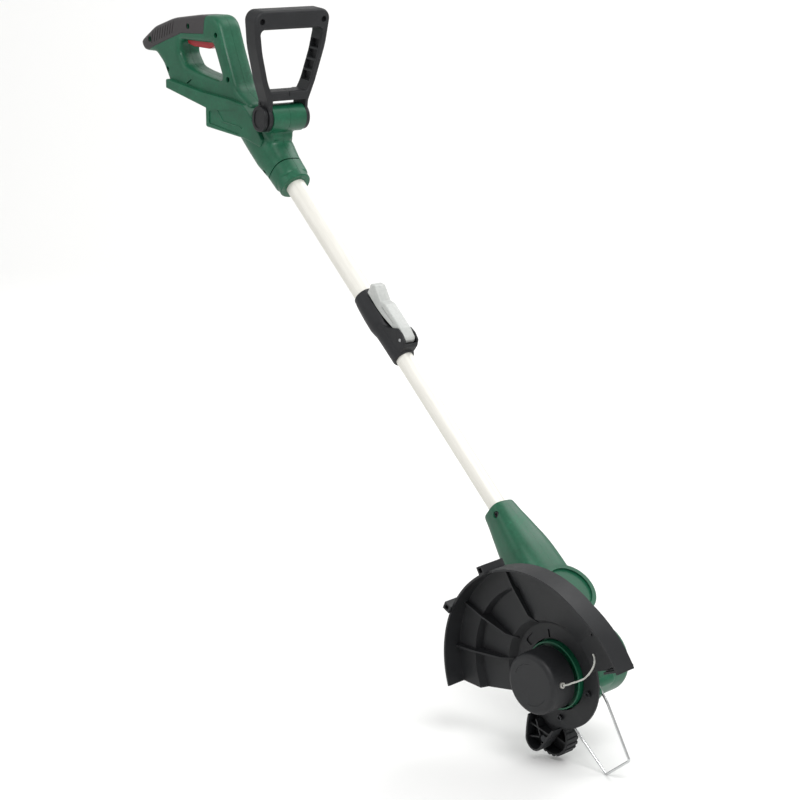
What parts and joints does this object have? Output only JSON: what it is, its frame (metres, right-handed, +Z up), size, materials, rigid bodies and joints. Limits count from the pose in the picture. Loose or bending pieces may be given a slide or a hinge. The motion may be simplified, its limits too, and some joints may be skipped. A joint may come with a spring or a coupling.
{
  "type": "cordless string trimmer",
  "caption": "Cordless string trimmer in edging pose: rear grip with trigger, adjustable front handle, telescopic tube, tilting motor head with guard, wheel and line spool.",
  "frame": {"origin": "in the rear grip, on the machine's middle plane, above the finger loop", "axes": "+X forward from the grip towards the head, +Y to the left, +Z up as it stands in the picture"},
  "size_m": [1.0202, 0.1869, 0.8088],
  "materials": {
    "green_shell": "moulded, fine satin grain",
    "black_plastic": "moulded, fine grain",
    "soft_grip": "soft overmould with fine ridges",
    "red_plastic": "satin moulded",
    "tube": "satin anodised",
    "grey_lever": "satin moulded",
    "steel": "zinc plated",
    "motor_can": "drawn steel",
    "nylon": "translucent monofilament"
  },
  "bodies": {
    "handle": {"handle_shell_left": "green_shell", "handle_shell_right": "green_shell", "grip_cover": "soft_grip", "handle_screw_1": "steel", "handle_screw_2": "steel", "handle_screw_3": "steel", "handle_screw_4": "steel", "handle_screw_5": "steel", "handle_screw_6": "steel", "trigger_pin": "steel", "power_switch": "black_plastic", "battery_terminals": "black_plastic", "upper_tube": "tube", "clamp_collar": "black_plastic", "lever_pin": "steel", "clamp_pad": "black_plastic"},
    "trigger": {"trigger": "red_plastic"},
    "lock_button": {"lock_button": "black_plastic"},
    "aux_handle": {"aux_handle": "black_plastic", "aux_screw_1": "steel", "aux_screw_2": "steel", "aux_bolt": "steel"},
    "aux_knob": {"aux_knob": "black_plastic"},
    "cam_lever": {"cam_lever": "grey_lever"},
    "lower_shaft": {"lower_tube": "tube", "tube_guide": "black_plastic"},
    "neck": {"neck_shell_left": "green_shell", "neck_shell_right": "green_shell", "neck_screw": "steel", "tilt_bolt": "steel"},
    "tilt_button": {"tilt_button": "black_plastic"},
    "head": {"motor_housing_lower": "green_shell", "motor_housing_upper": "green_shell", "motor": "motor_can", "guard": "black_plastic", "guard_screw_1": "steel", "guard_screw_2": "steel", "line_cutter": "steel", "wheel_bracket": "black_plastic", "wheel_axle": "steel"},
    "spool": {"spool_cup": "green_shell", "motor_shaft": "steel", "bump_spring": "steel"},
    "bump_cap": {"spool_cap": "black_plastic", "line_eyelet": "steel", "line_spool": "black_plastic", "wound_line": "nylon", "cutting_line": "nylon"},
    "wire_guard": {"wire_guard": "steel"},
    "edge_wheel": {"edge_wheel": "black_plastic"}
  },
  "joints": [
    {"name": "trigger_pull", "type": "hinge", "parent": "handle", "child": "trigger", "pos_m": [0.011, 0, -0.007], "axis": [0, -1, 0], "range_deg": [0, 6], "stiffness_Nm_per_rad": 2, "springref_deg": -5.73},
    {"name": "lock_press", "type": "slide", "parent": "handle", "child": "lock_button", "axis": [0, -1, 0], "range_m": [0, 0.003], "stiffness_N_per_m": 600, "springref_m": -0.002},
    {"name": "aux_tilt", "type": "hinge", "parent": "handle", "child": "aux_handle", "pos_m": [0.207, 0, -0.097], "axis": [0, 1, 0], "range_deg": [-12, 40]},
    {"name": "knob_turn", "type": "hinge", "parent": "aux_handle", "child": "aux_knob", "pos_m": [0.207, 0, -0.097], "axis": [0, 1, 0], "range_deg": [-180, 180]},
    {"name": "lever_open", "type": "hinge", "parent": "handle", "child": "cam_lever", "pos_m": [0.45819, 0, -0.34228], "axis": [0, 1, 0], "range_deg": [0, 95]},
    {"name": "telescope", "type": "slide", "parent": "handle", "child": "lower_shaft", "axis": [-0.7638, 0, 0.6455], "range_m": [-0.15, 0.12]},
    {"name": "shaft_turn", "type": "hinge", "parent": "lower_shaft", "child": "neck", "pos_m": [0.735, 0, -0.605], "axis": [-0.7638, 0, 0.6455], "range_deg": [-90, 0]},
    {"name": "tilt_release", "type": "slide", "parent": "neck", "child": "tilt_button", "axis": [0.6455, 0, 0.7638], "range_m": [0, 0.003], "stiffness_N_per_m": 800, "springref_m": -0.002},
    {"name": "head_tilt", "type": "hinge", "parent": "neck", "child": "head", "pos_m": [0.735, 0, -0.605], "axis": [0.6455, 0, 0.7638], "range_deg": [-5.7, 44.3]},
    {"name": "spool_spin", "type": "hinge", "parent": "head", "child": "spool", "pos_m": [0.79969, -0.06421, -0.65967], "axis": [0.0759, -0.9951, -0.0641], "continuous": true},
    {"name": "bump_feed", "type": "slide", "parent": "spool", "child": "bump_cap", "axis": [-0.0759, 0.9951, 0.0641], "range_m": [0, 0.004], "stiffness_N_per_m": 1500, "springref_m": -0.004},
    {"name": "wire_fold", "type": "hinge", "parent": "head", "child": "wire_guard", "pos_m": [0.81016, -0.04237, -0.67427], "axis": [0.7973, 0.022, 0.6032], "range_deg": [0, 55]},
    {"name": "wheel_spin", "type": "hinge", "parent": "head", "child": "edge_wheel", "pos_m": [0.78151, -0.04347, -0.73792], "axis": [0.0759, -0.9951, -0.0641], "continuous": true}
  ]
}
